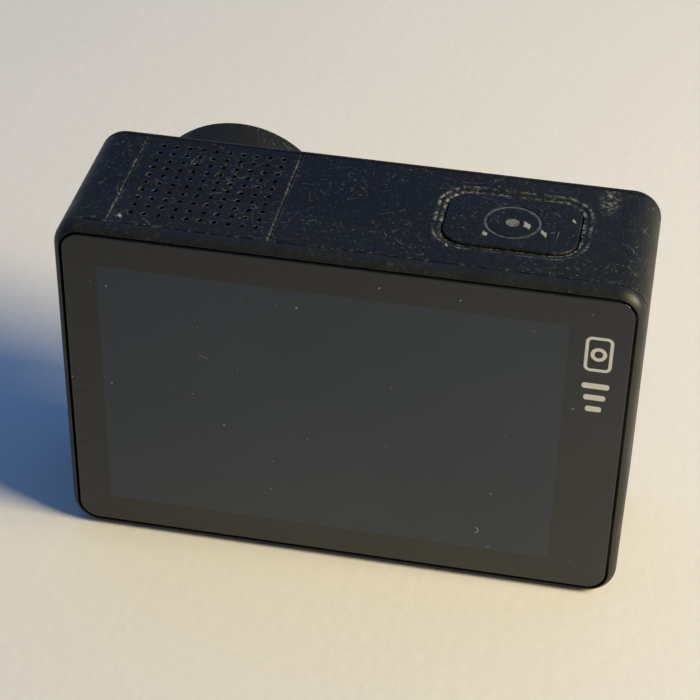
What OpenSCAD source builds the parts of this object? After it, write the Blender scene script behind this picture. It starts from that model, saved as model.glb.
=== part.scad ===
// Action camera with a touch screen on its back and a round lens ring on its front.
// Millimetres. +Z is up, the lens looks along -Y and the screen faces +Y.
// The origin is on the underside, in the middle of the footprint that includes the lens ring.

/* [Body] */
// Width of the body, along X
body_w = 62.5; // [61.5:0.5:64]
// Height of the body, along Z
body_h = 41.4; // [41.2:0.1:42.4]
// Depth of the body without the lens ring
body_d = 20; // [20:0.1:20.6]
// Radius of the body's four long corners
corner_r = 3.2; // [3.1:0.1:3.4]
// Thickness of the housing's wall
wall = 1.4; // [1.35:0.05:1.4]

/* [Lens] */
// Distance of the lens axis from the camera's middle
lens_x = 17.6; // [17.2:0.1:17.6]
// Height of the lens axis
lens_z = 27.4; // [27:0.1:27.4]
// Outer radius of the lens ring
ring_r = 10.9; // [10.8:0.1:11.2]
// How far the lens ring stands in front of the body
ring_depth = 8.8; // [8.8:0.1:9.4]

/* [Screen] */
// Width of the bezel's rim, from the body's side to the glass
rim = 0.82; // [0.7:0.01:0.9]
// Gap round the cover glass
glass_gap = 0.25; // [0.15:0.01:0.3]
// Thickness of the cover glass
glass_t = 1.1; // [1:0.05:1.15]
// Width of the picture
screen_w = 50; // [48:0.5:51]
// Height of the picture
screen_h = 31.9; // [30:0.1:32.2]
// Middle of the picture, across the body
screen_x = 1.4; // [1:0.1:1.6]

/* [Speaker grille] */
// Holes along each side of the square grille
grille_n = 10; // [6:1:10]
// Distance from hole to hole
grille_pitch = 1.5; // [1.3:0.05:1.5]
// Diameter of one hole
grille_hole = 0.6; // [0.4:0.05:0.7]
// Width between the two grooves beside the grille
grille_band = 17.3; // [16.5:0.1:17.8]

/* [Shutter button] */
// Length of the button, along X
button_w = 14.2; // [13:0.1:14.4]
// Width of the button, along Y
button_l = 9.7; // [9:0.1:9.9]
// How far it travels
button_travel = 0.35; // [0.2:0.05:0.35]
// Radius of the ring that marks it
button_ring_r = 3.05; // [2:0.05:3.4]

/* [Battery door] */
// Length of the battery
battery_w = 33; // [30:0.5:33]
// Height of the battery
battery_h = 33.4; // [30:0.1:33.4]
// Thickness of the battery
battery_t = 8.4; // [6:0.1:8.4]
// How far the door's latch slides
latch_travel = 1.8; // [1:0.1:1.8]

/* [Hidden] */
$fn = 64;

// Depths are counted along the lens axis, so a depth d lies at y = -d.
total_d = body_d + ring_depth;
d_back = -total_d / 2;
d_front = d_back + body_d;
d_ring = total_d / 2;
bezel_t = 1.5;
cover_t = 1.2;
d_rear_seam = d_back + bezel_t;
d_front_seam = d_front - cover_t;
mid_z = body_h / 2;
seam_w = 0.1;
seam_depth = 0.3;
eps = 0.01;

// Screen stack, from the back inwards
glass_w = body_w - 2 * (rim + glass_gap);
glass_h = body_h - 2 * (rim + glass_gap);
glass_r = corner_r - rim - glass_gap;
ink_gap = 0.02;
d_mask = d_back + glass_t + ink_gap;
print_t = 0.05;
d_glue = d_mask + print_t;
d_ledge = d_glue + 0.1;
ledge_w = 3;
lip_gap = 0.05;
lip_l = 1.3;
d_lcd = d_glue;
lcd_t = 1.5;
lcd_w = 53.8;
lcd_h = 34.6;
lcd_x = 0.5;
tray_t = 0.3;
screen_z = 20.6;

// Middle frame and boards
d_frame = d_lcd + lcd_t + tray_t + 0.15;
frame_t = 0.8;
frame_w = body_w - 2 * wall - 0.3;
frame_h = body_h - 2 * wall - 0.6;
d_bosses = d_frame + frame_t;
d_board = d_bosses + 0.8;
board_t = 0.8;
d_chips = d_board + board_t;
board_w = 57.2;
board_z0 = 5.2;
board_z1 = 36.2;

// Places on the boards, each as [lowest x, highest x, lowest z, highest z]
pad_place = [10, 22, 22, 33];
processor_place = [10.5, 22, 22.5, 32.5];
shield_place = [9, 24, 21, 34];
memory_places = [[10, 18.5, 8, 14], [-6, 2, 8, 14]];
slot_place = [-26, -11.4, 5.4, 19];
card_place = [-24.4, -13, 5, 18];
display_flex_place = [-3, 7, 3.6, 8];
flex_t = 0.2;
processor_t = 1.1;
memory_t = 1;
shield_h = 1.8;
shield_t = 0.2;
slot_h = 1.5;
card_gap = 1;

// Bosses for the four frame screws: x and z of each
boss_r = 1.9;
boss_l = 3.4;
screw_l = 2.4;
screw_r = 0.55;
screw_head_r = 1.1;
screw_head_t = 0.45;
inset = wall + 1.6;
bosses = [
    [-(body_w / 2 - inset), body_h - inset], [body_w / 2 - inset, body_h - inset],
    [body_w / 2 - inset, inset], [9.9, inset]
];

// Top face
top_y = 4;
grille_x = 16.75;
groove_x = 16.85;
button_x = -16.1;
button_r = 2.6;
button_gap = 0.15;
dish_w = 1.1;
dish_depth = 0.26;
dish_r = button_r + dish_w;
dot_r = 0.75;
ring_w = 0.32;
icon_depth = 0.2;
icon_sink = 0.06;
flange_w = 0.8;
flange_t = 0.85;
flange_drop = 0.15;
flange_z1 = body_h - wall - flange_drop;
flange_z0 = flange_z1 - flange_t;
plunger_r = 1;
switch_h = 1;
switch_w = 5;
bracket_w = 18.6;
bracket_l = 11;
bracket_t = 0.6;
switch_z0 = flange_z0 - switch_h - 0.4;

// Battery door, hinged on a pin along Y
pin_r = 0.35;
knuckle_r = 0.7;
hinge_gap = 0.2;
seam_gap = 0.12;
skin = 0.05;
hinge_x = 6.6;
hinge_z = skin + knuckle_r;
door_x0 = -28.2;
door_y0 = -3.3;
door_y1 = 9.7;
door_t = 1.15;
door_corner = 1.5;
latch_x = -25.9;
latch_w = 6.7;
latch_l = 5.8;
latch_y = 3.2;
tongue_w = 2;
tongue_l = 0.8;
latch_t = 0.6;

// Battery and its bay
battery_x0 = -27.9;
battery_z0 = 2.4;
battery_d0 = -6.2;
bay_gap = 0.3;
bay_wall = 0.6;
bay_z0 = 2;

// Side port, hinged on a pin along Z
port_z0 = 8.6;
port_z1 = 21.4;
port_y0 = 3.4;
port_y = 7.2;
port_z = 15;
port_hinge_y = 10.5;
port_hinge_x = body_w / 2 - skin - knuckle_r;
port_t = 1.15;

// Tripod socket, 1/4 inch
tripod_y = 3.4;
tripod_r = 2.6;
tripod_depth = 5.4;
nut_r = 4.3;
nut_h = 6.2;
boss_wall = 0.9;

// Lens
bore_r = 8.6;
neck_r = 9.4;
fit = 0.05;
d_neck = d_front + 3.1;
d_neck_end = d_neck + 3.5;
d_window = d_neck_end + 0.35;
window_t = 1.2;
window_r = 8.75;
sight_r = 7.7;

// ---------- shared shapes ----------

// Turns a shape drawn with z along the lens axis and y up into the camera's frame.
module along_lens() rotate([90, 0, 0]) children();

module rounded_rect(w, h, r) {
    square([w - 2 * r, h], center = true);
    square([w, h - 2 * r], center = true);
    for (sx = [-1, 1], sy = [-1, 1])
        translate([sx * (w / 2 - r), sy * (h / 2 - r)])
            circle(r);
}

module slab(w, h, r, t) linear_extrude(t) rounded_rect(w, h, r);

// Carries a flat profile round a rounded rectangle. The profile's x is counted from the corner's centre.
module around(w, h, r) {
    for (i = [0 : 3]) {
        off = i % 2 == 0 ? w / 2 - r : h / 2 - r;
        len = i % 2 == 0 ? h / 2 - r : w / 2 - r;
        rotate([0, 0, 90 * i])
            translate([off, len, 0]) {
                rotate_extrude(angle = 90) children();
                rotate([90, 0, 0]) linear_extrude(2 * len) children();
            }
    }
}

// A plate's edge with its upper corner rounded by e.
module edge_profile(r, t, e) {
    square([r - e, t]);
    square([r, t - e]);
    translate([r - e, t - e])
        intersection() {
            circle(e);
            square(e);
        }
}

// A plate in the shape of a rounded rectangle, with its upper edge rounded by e.
module soft_slab(w, h, r, t, e) {
    around(w, h, r) edge_profile(r, t, e);
    translate([-(w / 2 - r), -(h / 2 - r), 0])
        cube([w - 2 * r, h - 2 * r, t]);
}

// A block given by its lowest and highest corners.
module block(a, b) translate(a) cube(b - a);

// A block given by x and z ranges and by depths along the lens axis.
module depth_block(x0, x1, z0, z1, d0, d1) block([x0, -d1, z0], [x1, -d0, z1]);

// A block over one of the places on the boards
module placed(p, d0, d1) depth_block(p[0], p[1], p[2], p[3], d0, d1);

module disc(x, z, d0, d1, r)
    along_lens() translate([x, z, d0]) cylinder(r = r, h = d1 - d0);

// Turns a profile of radius and depth round the lens axis.
module turned() along_lens() translate([lens_x, lens_z, 0]) rotate_extrude() children();

module ring_profile(r0, r1, d0, d1) translate([r0, d0]) square([r1 - r0, d1 - d0]);

// ---------- housing ----------

module wall_profile() {
    r = corner_r;
    polygon([
        [r - wall, d_rear_seam], [r - seam_depth, d_rear_seam], [r, d_rear_seam + seam_w],
        [r, d_front_seam - seam_w], [r - seam_depth, d_front_seam], [r - wall, d_front_seam]
    ]);
}

module grille_holes() {
    first = -(grille_n - 1) / 2 * grille_pitch;
    for (i = [0 : grille_n - 1], j = [0 : grille_n - 1])
        translate([grille_x + first + i * grille_pitch, top_y + first + j * grille_pitch, 0])
            translate([0, 0, body_h - wall - 1])
                cylinder(d = grille_hole, h = wall + 2, $fn = 24);
}

// The two shallow V grooves beside the grille
module grille_grooves() {
    side = 0.25;
    for (s = [-1, 1])
        translate([groove_x + s * grille_band / 2, -d_front_seam - 1, body_h])
            rotate([-90, 0, 0])
                rotate([0, 0, 45])
                    translate([-side / 2, -side / 2, 0])
                        cube([side, side, d_front_seam - d_rear_seam + 2]);
}

// The button's hole, with a shallow dish that slopes down to it all round
module button_opening() {
    w = button_w + 2 * button_gap;
    l = button_l + 2 * button_gap;
    edge = button_r + button_gap - eps;
    translate([button_x, top_y, body_h - wall - eps])
        slab(w, l, button_r + button_gap, wall + 1);
    translate([button_x, top_y, body_h])
        around(button_w + 2 * dish_w, button_l + 2 * dish_w, dish_r)
            polygon([[edge, -dish_depth], [dish_r, 0], [dish_r, 1], [edge, 1]]);
}

module door_opening() {
    x1 = hinge_x + knuckle_r + hinge_gap;
    w = x1 - door_x0;
    l = door_y1 - door_y0;
    translate([door_x0 + w / 2, door_y0 + l / 2, -1]) slab(w, l, door_corner, wall + 2);
    // squares off the corners at the hinge
    block([x1 - 2 * door_corner, door_y0, -1], [x1, door_y1, wall + 1]);
    // strike for the latch's tongue
    block([door_x0 - tongue_l - 0.2, latch_y - tongue_w / 2 - 0.2, -1],
          [door_x0 + 1, latch_y + tongue_w / 2 + 0.2, skin + latch_t + 0.3]);
}

module port_opening() {
    y1 = port_hinge_y + knuckle_r + hinge_gap;
    block([body_w / 2 - wall - 1, port_y0, port_z0], [body_w / 2 + 1, y1, port_z1]);
}

module pin_bores() {
    bore = pin_r + 0.02;
    translate([hinge_x, door_y0 - 0.9, hinge_z])
        rotate([-90, 0, 0]) cylinder(r = bore, h = door_y1 - door_y0 + 2.3);
    translate([port_hinge_x, port_hinge_y, port_z0 - 1.3])
        cylinder(r = bore, h = port_z1 - port_z0 + 2.6);
}

module main_housing() color([0.10, 0.11, 0.15]) {
    difference() {
        union() {
            along_lens() translate([0, mid_z, 0]) around(body_w, body_h, corner_r) wall_profile();
            for (b = bosses) disc(b[0], b[1], d_bosses, d_bosses + boss_l, boss_r);
            translate([lens_x, tripod_y, wall / 2])
                cylinder(r = nut_r + boss_wall, h = nut_h + 0.6 - wall / 2);
        }
        grille_holes();
        grille_grooves();
        button_opening();
        door_opening();
        port_opening();
        pin_bores();
        for (b = bosses) disc(b[0], b[1], d_bosses - 1, d_bosses + screw_l + 0.3, screw_r + fit);
        translate([lens_x, tripod_y, -1]) cylinder(r = nut_r + fit, h = nut_h + 1.1);
    }
}

// The bezel's cross-section: a curved rim, the ledge that carries the glass, and a lip inside the housing
module bezel_profile() {
    r = corner_r;
    arc = (rim * rim + bezel_t * bezel_t) / (2 * rim);
    intersection() {
        translate([r - rim, d_back]) square([rim, bezel_t - seam_w]);
        translate([r - arc, d_rear_seam]) circle(arc, $fn = 96);
    }
    polygon([
        [r - ledge_w, d_ledge], [r - rim, d_ledge], [r - rim, d_rear_seam - seam_w],
        [r, d_rear_seam - seam_w], [r - seam_depth, d_rear_seam], [r - wall - lip_gap, d_rear_seam],
        [r - wall - lip_gap, d_rear_seam + lip_l], [r - ledge_w, d_rear_seam + lip_l]
    ]);
}

light_x = 29.05;
light_zs = [12, 19.5];
light_w = 1.3;
light_h = 0.4;

// The two slits for the charging and recording lights, made larger by grow on each side
module light_slits(d0, d1, grow) {
    for (z = light_zs)
        depth_block(light_x - light_w / 2 - grow, light_x + light_w / 2 + grow,
                    z - light_h / 2 - grow, z + light_h / 2 + grow, d0, d1);
}

module rear_bezel() color([0.13, 0.13, 0.13]) {
    difference() {
        along_lens() translate([0, mid_z, 0]) around(body_w, body_h, corner_r) bezel_profile();
        light_slits(d_ledge - 0.5, d_rear_seam + lip_l + 1, 0.1);
    }
}

window_x = -15.2;
window_z = 28.9;
window_w = 24;
window_h = 13;
window_corner = 1.5;
grip_x0 = -27.2;
grip_x1 = 3.6;
grip_z0 = 4.6;
grip_z1 = 18;
grip_r = 1.5;
mic_x = 26.4;
mic_z = 7.5;
mic_w = 2.2;
mic_h = 3;
mic_hole_r = 0.4;
led_x = 1;
led_z = 33.5;
led_r = 0.7;
collar_waist = ring_r - 0.55;

module cover_profile() {
    r = corner_r;
    e = 1;
    translate([0, d_front_seam]) {
        square([r - e, cover_t]);
        polygon([[0, 0], [r - seam_depth, 0], [r, seam_w], [r, cover_t - e], [0, cover_t - e]]);
        translate([r - e, cover_t - e])
            intersection() {
                circle(e);
                square(e);
            }
    }
}

module front_cover() color([0.11, 0.12, 0.15]) {
    skirt_l = 0.7;
    difference() {
        union() {
            along_lens() translate([0, mid_z, 0]) {
                around(body_w, body_h, corner_r) cover_profile();
                translate([-(body_w / 2 - corner_r), -(body_h / 2 - corner_r), d_front_seam])
                    cube([body_w - 2 * corner_r, body_h - 2 * corner_r, cover_t]);
                around(body_w, body_h, corner_r)
                    translate([corner_r - 2.6, d_front_seam - skirt_l])
                        square([2.6 - wall - lip_gap, skirt_l]);
            }
        }
        disc(lens_x, lens_z, d_front_seam - 2, d_front + 1, collar_waist + fit);
        along_lens() translate([window_x, window_z, d_front_seam - 1])
            slab(window_w, window_h, window_corner, 4);
        grip_pocket();
        disc(mic_x, mic_z, d_front_seam - 1, d_front + 1, mic_hole_r);
        disc(led_x, led_z, d_front_seam - 1, d_front + 1, led_r + fit);
    }
}

module grip_pocket() {
    along_lens()
        translate([(grip_x0 + grip_x1) / 2, (grip_z0 + grip_z1) / 2, d_front - 0.5])
            slab(grip_x1 - grip_x0, grip_z1 - grip_z0, grip_r, 2);
}

// The ribbed grip let into the front cover
module grip_panel() color([0.07, 0.07, 0.08]) {
    w = grip_x1 - grip_x0 - 0.1;
    h = grip_z1 - grip_z0 - 0.1;
    pitch = 1.7;
    rib = 0.9;
    n = floor((w - 2 * grip_r) / pitch);
    along_lens() translate([(grip_x0 + grip_x1) / 2, (grip_z0 + grip_z1) / 2, d_front - 0.5]) {
        slab(w, h, grip_r - 0.05, 0.35);
        for (i = [0 : n])
            translate([(i - n / 2) * pitch, 0, 0.3])
                slab(rib, h - 1.6, rib / 2 - eps, 0.35);
    }
}

// ---------- screen ----------

module touch_glass() color([0.08, 0.09, 0.10, 0.5]) {
    along_lens()
        translate([0, mid_z, d_back + glass_t])
            mirror([0, 0, 1]) soft_slab(glass_w, glass_h, glass_r, glass_t, 0.2);
}

module screen_window(d0, d1)
    depth_block(screen_x - screen_w / 2, screen_x + screen_w / 2,
                screen_z - screen_h / 2, screen_z + screen_h / 2, d0, d1);

// A plain picture of a camera and three bars, printed beside the screen
emblem_x = -26.85;
emblem_z = 30.3;

module emblem(d0, d1) {
    t = d1 - d0;
    along_lens() translate([emblem_x, emblem_z, d0]) {
        translate([0, 3.1, 0]) {
            difference() {
                slab(2.9, 4.4, 0.7, t);
                translate([0, 0, -1]) slab(2.2, 3.7, 0.35, t + 2);
            }
            difference() {
                cylinder(r = 0.85, h = t);
                translate([0, 0, -1]) cylinder(r = 0.45, h = t + 2);
            }
        }
        for (i = [0 : 2])
            translate([0, -1 - 1.5 * i, 0]) slab(2.9 - 0.6 * i, 0.7, 0.3, t);
    }
}

module rear_emblem() color([0.85, 0.84, 0.78]) emblem(d_mask, d_glue);

module glass_mask() color([0.03, 0.03, 0.03]) {
    difference() {
        along_lens() translate([0, mid_z, d_mask])
            slab(glass_w - 0.2, glass_h - 0.2, glass_r - 0.1, print_t);
        screen_window(d_mask - 1, d_glue + 1);
        light_slits(d_mask - 1, d_glue + 1, 0);
        emblem(d_mask - 1, d_glue + 1);
    }
}

module glass_adhesive() color([0.05, 0.05, 0.05]) {
    w = 1.9;
    difference() {
        along_lens() translate([0, mid_z, d_glue])
            slab(glass_w - 0.3, glass_h - 0.3, glass_r - 0.15, d_ledge - d_glue);
        depth_block(-glass_w / 2 + w, glass_w / 2 - w, mid_z - glass_h / 2 + w, mid_z + glass_h / 2 - w,
                    d_glue - 1, d_ledge + 1);
        light_slits(d_glue - 1, d_ledge + 1, 0.1);
    }
}

module lcd_layer(d0, d1)
    depth_block(lcd_x - lcd_w / 2, lcd_x + lcd_w / 2, screen_z - lcd_h / 2, screen_z + lcd_h / 2, d0, d1);

module lcd_panel() color([0.12, 0.14, 0.16]) lcd_layer(d_lcd, d_lcd + lcd_t);

module lcd_tray() color("silver") lcd_layer(d_lcd + lcd_t, d_lcd + lcd_t + tray_t);

// The screen's ribbon passes through the frame and turns up behind the board
module lcd_flex() color([0.75, 0.45, 0.12]) {
    p = display_flex_place;
    depth_block(p[0], p[1], p[2], p[2] + flex_t, d_lcd + lcd_t + tray_t, d_board);
    placed(p, d_board - flex_t, d_board);
}

module rear_light_pipes() color([0.9, 0.9, 0.95, 0.6]) light_slits(d_glue, d_rear_seam + lip_l, 0);

// ---------- frame and boards ----------

module mid_frame() color([0.72, 0.73, 0.75]) {
    difference() {
        union() {
            along_lens() translate([0, mid_z, d_frame]) slab(frame_w, frame_h, 1.6, frame_t);
            for (p = [[-26, 7], [26, 7], [-26, 34.5], [26, 34.5]])
                disc(p[0], p[1], d_bosses - eps, d_board, 1.2);
        }
        for (b = bosses) {
            disc(b[0], b[1], d_frame - 1, d_bosses + 1, screw_r + 0.15);
            disc(b[0], b[1], d_frame - 1, d_frame + screw_head_t, screw_head_r + fit);
        }
        depth_block(-4, 8, 3, 4.4, d_frame - 1, d_bosses + 1);
        for (x = [-20, -8]) depth_block(x - 4, x + 4, 12, 30, d_frame - 1, d_bosses + 1);
    }
}

module frame_screws() color([0.6, 0.6, 0.62]) {
    for (b = bosses)
        difference() {
            union() {
                disc(b[0], b[1], d_frame, d_frame + screw_head_t, screw_head_r);
                disc(b[0], b[1], d_frame, d_bosses + screw_l, screw_r);
            }
            for (a = [0, 90])
                along_lens() translate([b[0], b[1], d_frame - 0.5]) rotate([0, 0, a])
                    translate([-0.7, -0.12, 0]) cube([1.4, 0.24, 0.75]);
        }
}

module thermal_pad() color([0.45, 0.55, 0.65]) placed(pad_place, d_bosses, d_board);

module main_board() color([0.05, 0.30, 0.16])
    depth_block(-board_w / 2, board_w / 2, board_z0, board_z1, d_board, d_chips);

module processor() color([0.1, 0.1, 0.1]) placed(processor_place, d_chips, d_chips + processor_t);

module emi_shield() color([0.78, 0.78, 0.76]) {
    p = shield_place;
    t = shield_t;
    difference() {
        placed(p, d_chips, d_chips + shield_h);
        placed([p[0] + t, p[1] - t, p[2] + t, p[3] - t], d_chips - 1, d_chips + shield_h - t);
    }
}

module memory_chips() color([0.1, 0.1, 0.1]) {
    for (p = memory_places) placed(p, d_chips, d_chips + memory_t);
}

module microsd_slot() color([0.75, 0.75, 0.74]) {
    difference() {
        placed(slot_place, d_chips, d_chips + slot_h);
        placed(card_place, d_chips + shield_t, d_chips + shield_t + card_gap);
    }
}

module usb_c_port() color([0.8, 0.8, 0.8]) {
    shell_l = 7;
    shell_w = 8.94;
    shell_t = 3.2;
    sheet = 0.3;
    floor_t = 0.8;
    tongue = [0.7, 6.6, 5.4];
    translate([body_w / 2 - wall - 0.95 - shell_l, port_y, port_z]) rotate([90, 0, 90]) {
        difference() {
            slab(shell_t, shell_w, shell_t / 2 - eps, shell_l);
            translate([0, 0, floor_t])
                slab(shell_t - 2 * sheet, shell_w - 2 * sheet, shell_t / 2 - sheet - eps, shell_l);
        }
        translate([-tongue[0] / 2, -tongue[1] / 2, floor_t - 0.1]) cube(tongue);
    }
}

// ---------- battery ----------

battery_x1 = battery_x0 + battery_w;
battery_z1 = battery_z0 + battery_h;
battery_d1 = battery_d0 + battery_t;

module battery() color([0.16, 0.17, 0.18]) {
    along_lens()
        translate([(battery_x0 + battery_x1) / 2, (battery_z0 + battery_z1) / 2, battery_d0])
            slab(battery_w, battery_h, 1, battery_t);
}

module battery_bay() color([0.12, 0.12, 0.12]) {
    x0 = battery_x0 - bay_gap;
    x1 = battery_x1 + bay_gap;
    z1 = battery_z1 + 0.5;
    d0 = battery_d0 - 0.2;
    d1 = battery_d1 + 0.2;
    difference() {
        depth_block(x0 - bay_wall, x1 + bay_wall, bay_z0, z1 + bay_wall, d0 - bay_wall, d1 + bay_wall);
        depth_block(x0, x1, bay_z0 - 1, z1, d0, d1);
    }
}

module battery_contacts() color("gold") {
    for (i = [0 : 2])
        depth_block(-24 + 4 * i, -22 + 4 * i, battery_z1, battery_z1 + 0.5, -4, 0);
}

// ---------- front ----------

module status_window() color([0.04, 0.04, 0.05])
    along_lens() translate([window_x, window_z, d_front_seam + 0.15])
        slab(window_w - 0.1, window_h - 0.1, window_corner - 0.05, 1);

module status_display() color([0.1, 0.1, 0.14])
    depth_block(window_x - 12.5, window_x + 12.5, window_z - 7, window_z + 7,
                d_front_seam - 1.25, d_front_seam - 0.05);

module front_light_pipe() color([0.9, 0.9, 0.95, 0.6])
    disc(led_x, led_z, d_front_seam - 1.1, d_front - 0.05, led_r);

module microphone() color([0.8, 0.75, 0.55])
    depth_block(mic_x - mic_w / 2, mic_x + mic_w / 2, mic_z - mic_h / 2, mic_z + mic_h / 2,
                d_front_seam - 1.1, d_front_seam - 0.1);

// ---------- lens ----------

module lens_collar() color([0.10, 0.10, 0.12]) {
    turned() difference() {
        union() {
            ring_profile(bore_r, ring_r - 0.15, d_front, d_neck);
            ring_profile(bore_r, ring_r, d_front, d_neck - 0.15);
            ring_profile(bore_r, neck_r, d_front, d_neck_end);
            ring_profile(bore_r, collar_waist, d_front_seam - 1, d_front + eps);
            ring_profile(bore_r, ring_r + 0.1, d_front_seam - 1, d_front_seam);
        }
    }
}

module lens_gasket() color([0.25, 0.25, 0.25])
    turned() ring_profile(bore_r + 0.05, neck_r - 0.05, d_neck_end, d_neck_end + 0.3);

// A stepped black funnel between the collar and the lens barrel
module lens_baffle() color([0.03, 0.03, 0.03]) {
    r0 = 7.35;
    r1 = bore_r - 0.1;
    n = 4;
    dr = (r1 - 0.15 - r0) / n;
    dd = 0.4;
    d0 = d_neck_end - 2;
    turned() {
        for (i = [0 : n - 1])
            ring_profile(r0 + i * dr, r1, d0, d0 + 0.35 + i * dd);
    }
}

d_head = d_front + 2.4;
d_lip = d_head + 3.4;
head_r = 7.2;
tube_r = 6;
front_element_r = 5.8;
element_r = 4.55;
stop_r = 3.5;

// A wide head in front of a threaded-in tube
module lens_barrel() color([0.06, 0.06, 0.06]) {
    turned() difference() {
        union() {
            ring_profile(0, head_r, d_head, d_lip - 0.4);
            ring_profile(0, head_r - 0.3, d_head, d_lip);
            ring_profile(0, tube_r, -1, d_head + 0.1);
        }
        ring_profile(-1, front_element_r + fit, d_head + 1.35, d_lip + 1);
        ring_profile(-1, element_r + fit, 0, d_lip);
        ring_profile(-1, stop_r, -2, 1);
    }
}

// The outer element, with a domed front
module front_element() color([0.25, 0.28, 0.35, 0.5]) {
    dome = 8;
    turned() intersection() {
        translate([0, d_neck_end - dome]) circle(dome, $fn = 96);
        ring_profile(0, front_element_r, d_head + 1.4, d_ring);
    }
}

// Three inner elements, each with two domed faces
module lens_elements() color([0.3, 0.32, 0.4, 0.5]) {
    dome = 11;
    half = 1.2;
    for (d = [1.6, 4.3, 7])
        turned() intersection() {
            translate([0, d + half - dome]) circle(dome, $fn = 96);
            translate([0, d - half + dome]) circle(dome, $fn = 96);
            ring_profile(0, element_r, d - half, d + half);
        }
}

holder_w = 17;
holder_boss_r = 8;
pocket_w = 11;
filter_w = 8;
sensor_h = 6.4;
sensor_board_w = 18;
d_sensor_board = -4.4;
d_holder = d_sensor_board + board_t;

module lens_holder() color([0.08, 0.08, 0.08]) {
    difference() {
        union() {
            along_lens() translate([lens_x, lens_z, d_holder]) slab(holder_w, holder_w, 1, 3);
            disc(lens_x, lens_z, d_holder + 2.9, d_front_seam - 1.2, holder_boss_r);
        }
        disc(lens_x, lens_z, d_holder + 1.6, d_front, tube_r + fit);
        along_lens() translate([lens_x, lens_z, d_holder - 1]) slab(pocket_w, pocket_w, 0.5, 2);
        disc(lens_x, lens_z, d_holder - 1, d_front, stop_r - 0.3);
    }
}

// A plate across the lens axis
module behind_lens(w, h, d0, d1)
    depth_block(lens_x - w / 2, lens_x + w / 2, lens_z - h / 2, lens_z + h / 2, d0, d1);

module infrared_filter() color([0.7, 0.3, 0.5, 0.5])
    behind_lens(filter_w, filter_w, d_holder + 0.45, d_holder + 0.95);

module image_sensor() color([0.2, 0.2, 0.3]) behind_lens(filter_w, sensor_h, d_holder, d_holder + 0.4);

module sensor_board() color([0.05, 0.30, 0.16])
    behind_lens(sensor_board_w, sensor_board_w, d_sensor_board, d_holder);

module sensor_flex() color([0.75, 0.45, 0.12])
    depth_block(lens_x - 3.5, lens_x + 3.5, 19, 19.2, d_chips, d_sensor_board);

// ---------- top ----------

module speaker() color([0.2, 0.2, 0.22]) {
    h = 2.75;
    translate([grille_x, top_y, body_h - wall - 0.25 - h]) {
        slab(14.2, 8.4, 2, h - 0.5);
        translate([0, 0, h - 0.6]) slab(12.4, 6.8, 1.6, 0.6);
    }
}

module speaker_mesh() color([0.02, 0.02, 0.02])
    translate([grille_x, top_y - 0.1, body_h - wall - 0.25]) slab(15.2, 15, 1, 0.2);

module wifi_antenna() color([0.8, 0.6, 0.25])
    block([-6, 4, body_h - wall - 0.3], [5, 9, body_h - wall - 0.1]);

module button_bracket() color([0.15, 0.15, 0.15]) {
    leg = 0.5;
    x0 = button_x - bracket_w / 2;
    x1 = button_x + bracket_w / 2;
    y0 = top_y - bracket_l / 2;
    y1 = top_y + bracket_l / 2;
    block([x0, y0, switch_z0 - bracket_t], [x1, y1, switch_z0]);
    for (x = [x0, x1 - leg]) block([x, y0, switch_z0 - eps], [x + leg, y1, body_h - wall]);
}

module shutter_switch() color([0.7, 0.7, 0.68]) {
    difference() {
        translate([button_x - switch_w / 2, top_y - switch_w / 2, switch_z0])
            cube([switch_w, switch_w, switch_h]);
        translate([button_x, top_y, switch_z0 + 0.15]) cylinder(r = plunger_r + fit, h = 2);
    }
}

module tripod_nut() color([0.75, 0.66, 0.4]) {
    difference() {
        translate([lens_x, tripod_y, skin]) cylinder(r = nut_r, h = nut_h);
        translate([lens_x, tripod_y, skin - 1]) cylinder(r = tripod_r, h = tripod_depth + 1);
    }
}

module door_hinge_pin() color("silver")
    translate([hinge_x, door_y0 - 0.8, hinge_z])
        rotate([-90, 0, 0]) cylinder(r = pin_r, h = door_y1 - door_y0 + 2.1);

module port_hinge_pin() color("silver")
    translate([port_hinge_x, port_hinge_y, port_z0 - 1.2])
        cylinder(r = pin_r, h = port_z1 - port_z0 + 2.4);

// ---------- moving pieces ----------

module lens_ring() color([0.09, 0.10, 0.12]) {
    d0 = d_neck + 0.15;
    e = 0.45;
    turned() difference() {
        union() {
            ring_profile(0, ring_r - 0.15, d0, d_ring - e);
            ring_profile(0, ring_r, d0 + 0.15, d_ring - e);
            ring_profile(0, ring_r - e, d0, d_ring);
            translate([ring_r - e, d_ring - e]) circle(e, $fn = 48);
        }
        ring_profile(-1, neck_r + fit, d0 - 1, d_window);
        ring_profile(-1, window_r + fit, d0, d_window + window_t);
        polygon([
            [-1, d0], [sight_r, d0], [sight_r, d_window + window_t + 0.1],
            [sight_r + 0.7, d_ring + eps], [-1, d_ring + eps]
        ]);
    }
}

module lens_window() color([0.2, 0.25, 0.3, 0.4])
    disc(lens_x, lens_z, d_window, d_window + window_t, window_r);

module shutter_button() color([0.10, 0.11, 0.15]) {
    cap_h = body_h - flange_z0;
    difference() {
        union() {
            translate([button_x, top_y, flange_z0]) soft_slab(button_w, button_l, button_r, cap_h, 0.2);
            translate([button_x, top_y, flange_z0])
                slab(button_w + 2 * flange_w, button_l + 2 * flange_w, button_r + flange_w, flange_t);
        }
        icon_shape(body_h - icon_depth, body_h + 1, fit);
    }
}

// The ring and the dot that mark the button, made larger by grow
module icon_shape(z0, z1, grow) {
    translate([button_x, top_y, z0]) {
        difference() {
            cylinder(r = button_ring_r + grow, h = z1 - z0);
            translate([0, 0, -1]) cylinder(r = button_ring_r - ring_w - grow, h = z1 - z0 + 2);
        }
        cylinder(r = dot_r + grow, h = z1 - z0);
    }
}

module button_icon() color([0.40, 0.40, 0.38]) icon_shape(body_h - icon_depth, body_h - icon_sink, 0);

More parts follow.
